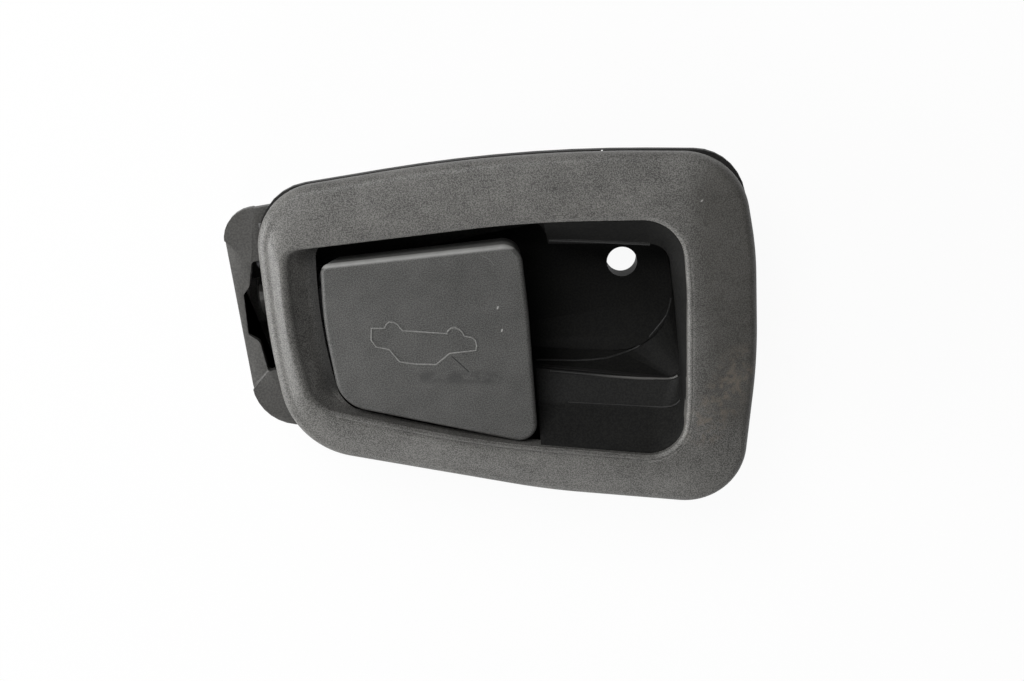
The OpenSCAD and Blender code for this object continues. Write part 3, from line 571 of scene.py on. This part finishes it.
# The tub gets a darker copy of the housing's black plastic: painted shade of the deep pocket
shaded_tub_plastic = plastic("shaded_tub_plastic", (0.003, 0.003, 0.003), (0.010, 0.010, 0.009), 0.62, 0.0005,
                      0.00002, gloss=0.2)
fitted(soft_copy("pocket_tub", moulded_edge), "body", "housing_plastic", shaded_tub_plastic, "pocket_tub")

# Cable bracket: a moulded cover over the lever's end that carries the cable's conduit, held to the
# housing by two screws. Its front plate is cut away where the cable is hooked in.
bracket_plastic = plastic("bracket_plastic", (0.044, 0.043, 0.041), (0.084, 0.082, 0.077), 0.5, 0.0005,
                          0.000015)
fitted(soft_copy("cable_bracket", moulded_edge), "body", "bracket_plastic", bracket_plastic,
       "cable_bracket")

# Paddle: the pull plate, a moulded cap with a rounded edge, grained like the bezel and screwed to the
# lever from below. The pictogram of a car with its hood open is a fine raised line in the mould.
paddle_z = 34.5
paddle_low_z = 24.5
paddle_edge_r = 1.2
paddle_wall = 2.5
paddle_corners = [(74.5, -19.5, 2.5), (76.7, -4.5, 90), (76.8, 17.45, 9.5), (29, 36.8, 4.5),
                  (25.5, 1.5, 110), (24.5, -16.5, 5)]
# The skirt leans in at the hinge end, so that it clears the bezel's rim as it swings
foot_corners = [(74.2, -19.3, 2.5), (75.8, -4.5, 90), (74.0, 15.0, 9.5), (29, 36.0, 4.5)] + paddle_corners[4:]
paddle_rings = [ring(foot_corners, 0.5, paddle_low_z), ring(foot_corners, 0.3, 32.2),
                ring(paddle_corners, 0.02, paddle_z - paddle_edge_r - 0.3)]
edge_steps = 7
for step in range(edge_steps + 1):
    bend = math.radians(step * 90 / edge_steps)
    paddle_rings.append(ring(paddle_corners, paddle_edge_r * (1 - math.cos(bend)),
                             paddle_z - paddle_edge_r * (1 - math.sin(bend))))
paddle = skin("paddle_cap", paddle_rings)
paddle_inside = skin("paddle_inside", [ring(paddle_corners, paddle_wall, paddle_low_z - 1),
                                       ring(paddle_corners, paddle_wall + 0.1, paddle_z - paddle_wall)])
combine(paddle, paddle_inside, "DIFFERENCE")
relief_side = ((70.0, 23.0), (70.5, 24.5), (72.4, 28.6), (77.2, 32.2), (80.0, 32.2), (80.0, 23.0))
relief_half = 45
relief = skin("relief", [[Vector((x, y, z)) for x, z in relief_side] for y in (-relief_half, relief_half)])
combine(paddle, relief, "DIFFERENCE")
smooth(paddle, crease_turn)


def paddle_wear_and_highlight(spot, colour, sheen):
    """A dark smudge below the pictogram, a pale curved scratch near a corner and nicks, with a painted
    highlight along the low-side edge and painted light on the skirt below it.
    """
    smudge = spot.near((0.0542, 0.0135, 0.0345), (0.0368, 0.0169, 0.0345), 0.0004, 0.0026)
    smudge = smudge * spot.noise(0.003, 2.0, 0.5).between(0.35, 0.6)
    colour = (smudge * 0.55).blend(colour, (0.030, 0.030, 0.030, 1))
    scratch = spot.near((0.0348, -0.0153, 0.0345), (0.0328, -0.0139, 0.0345), 0.00003, 0.00014).bigger(
        spot.near((0.0328, -0.0139, 0.0345), (0.0319, -0.0122, 0.0345), 0.00003, 0.00014))
    colour = (scratch * 0.35).blend(colour, (0.24, 0.24, 0.23, 1))
    # Painted highlight on the low-side edge and painted light on the skirt below it
    edge = spot.near((0.0728, -0.0193, 0.0330), (0.0272, -0.0164, 0.0330), 0.0013, 0.0019)
    side = spot.near((0.0728, -0.0195, 0.0300), (0.0272, -0.0166, 0.0300), 0.0012, 0.0026)
    edge = edge.bigger(side * 0.6)
    colour = (edge * (spot.noise(0.004, 2.0, 0.5) * 0.5 + 0.5)).blend(colour, (0.33, 0.33, 0.32, 1))
    for place in ((0.0327, -0.0171, 0.0345), (0.0328, -0.0014, 0.0345), (0.0328, 0.0046, 0.0345)):
        nick = spot.near(place, (place[0] + 0.0002, place[1] + 0.0004, place[2]), 0.00010, 0.00028)
        colour = (nick * 0.7).blend(colour, (0.50, 0.50, 0.48, 1))
    return colour, sheen


paddle_plastic = plastic("paddle_plastic", (0.040, 0.040, 0.038), (0.122, 0.121, 0.117), 0.5, 0.00030,
                         0.00004, paddle_wear_and_highlight)
fitted(paddle, "lever", "paddle_plastic", paddle_plastic, "paddle")

# The pictogram's outline is painted paler than the paddle, a painted highlight, and the line of the open hood
# is darker
car_outline = [(65.0, -1.4), (61.8, -0.8), (61.2, -1.6), (60.4, -2.2), (59.1, -2.0), (58.2, -1.2),
               (57.9, -0.4), (57.4, 0.5), (46.6, 3.3), (46.3, 2.7), (45.4, 2.1), (44.3, 2.0), (43.4, 2.6),
               (42.7, 3.5), (42.4, 4.6), (40.6, 5.3), (39.9, 6.1), (39.7, 7.5), (40.2, 8.9), (46.9, 8.5),
               (50.8, 10.8), (56.0, 9.7), (59.7, 8.4), (61.5, 5.0), (61.8, 4.7), (64.8, 3.5), (65.6, 1.6)]
open_hood = [(46.5, 9.4), (44.8, 11.7), (43.0, 14.2)]
pictogram_line_r = 0.26
highlight_line_plastic = plastic("highlight_line_plastic", (0.13, 0.13, 0.125), (0.22, 0.22, 0.21), 0.45, 0.0004, 0.00001)
car_line = raised_line("pictogram_car", [(x, y, paddle_z) for x, y in car_outline], True,
                       pictogram_line_r, 0.10)
fitted(car_line, "lever", "paddle_plastic", highlight_line_plastic)
dark_line_plastic = plastic("dark_line_plastic", (0.018, 0.018, 0.018), (0.030, 0.030, 0.029), 0.6, 0.0004, 0.00001)
prop_line = raised_line("pictogram_prop", [(x, y, paddle_z) for x, y in open_hood], False,
                        pictogram_line_r, 0.20)
fitted(prop_line, "lever", "paddle_plastic", dark_line_plastic)

# Lever: the frame and arm under the paddle, moulded in stiff glass-filled plastic. It turns on the pin
# and pulls the cable, and two screws from below hold the paddle on it.
lever_plastic = plastic("lever_plastic", (0.030, 0.030, 0.032), (0.060, 0.060, 0.062), 0.45, 0.0007, 0.00001)
fitted(soft_copy("lever", moulded_edge), "lever", "lever_plastic", lever_plastic, "lever")


# Screws, pin, ring, spring and clips: small steel parts. The screws are black zinc plated, the pin is
# ground, the flat ring in its groove and the wire spring round the hub are bright spring steel, and
# the clips are phosphated spring steel, folded over the housing's tabs.
def steel(name, dark, light, roughness, streak=(1, 1, 1)):
    """Bare or plated steel with fine streaks and a little dullness in patches."""
    made, paint = new_material(name)
    spot = paint.node("TexCoord", pick="Object")
    streaks = spot.noise(0.0004, 3.0, 0.6, streak)
    dull = spot.noise(0.002, 2.0, 0.5).between(0.4, 0.7)
    bumps = paint.node("Bump", {}, {"Height": streaks, "Strength": 1.0, "Distance": 0.000004})
    body = paint.node("BsdfPrincipled", {}, {
        "Base Color": (streaks * 0.6 + dull * 0.4).blend((*dark, 1), (*light, 1)), "Metallic": 1.0,
        "Roughness": dull * 0.15 + roughness, "Normal": bumps})
    paint.finish(body)
    return made


zinc_steel = steel("zinc_steel", (0.035, 0.035, 0.037), (0.075, 0.075, 0.078), 0.42)
for node, body in (("bracket_screw_1", "body"), ("bracket_screw_2", "body"), ("paddle_screw_1", "lever"),
                   ("paddle_screw_2", "lever")):
    fitted(soft_copy(node, 0.12), body, "zinc_steel", zinc_steel, node)
pin_steel = steel("pin_steel", (0.6, 0.6, 0.6), (0.76, 0.76, 0.76), 0.2, (1, 6, 1))
fitted(soft_copy("pivot_pin", 0.15), "body", "pin_steel", pin_steel, "pivot_pin")
sheet_edge = 0.08
spring_steel = steel("spring_steel", (0.46, 0.46, 0.48), (0.64, 0.64, 0.66), 0.28)
fitted(soft_copy("pin_ring", sheet_edge), "body", "spring_steel", spring_steel, "pin_ring")
clip_steel = steel("clip_steel", (0.20, 0.20, 0.205), (0.34, 0.34, 0.345), 0.42)
for node in ("panel_clip_1", "panel_clip_2"):
    fitted(soft_copy(node, sheet_edge), "body", "clip_steel", clip_steel, node)
spring_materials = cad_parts["return_spring"].data.materials
spring_materials.clear()
spring_materials.append(spring_steel)

# Bushes: two turned rings of natural acetal with a thin flange, set in the pillars of the hinge frame
# from inside. The pin's ends sit in them.
bush_plastic = plastic("bush_plastic", (0.72, 0.70, 0.64), (0.82, 0.80, 0.75), 0.4, 0.0005, 0.000006)
for node in ("bush_1", "bush_2"):
    fitted(soft_copy(node, 0.1), "body", "bush_plastic", bush_plastic, node)

# Bumpers: two plugs of black rubber, held in the chamber's walls by their stems. They end the lever's
# travel, one at rest and one at full pull.
bumper_rubber = plastic("bumper_rubber", (0.018, 0.018, 0.018), (0.030, 0.030, 0.030), 0.75, 0.0004, 0.00002)
for node in ("rest_bumper", "pull_bumper"):
    fitted(soft_copy(node, 0.3), "body", "bumper_rubber", bumper_rubber, node)
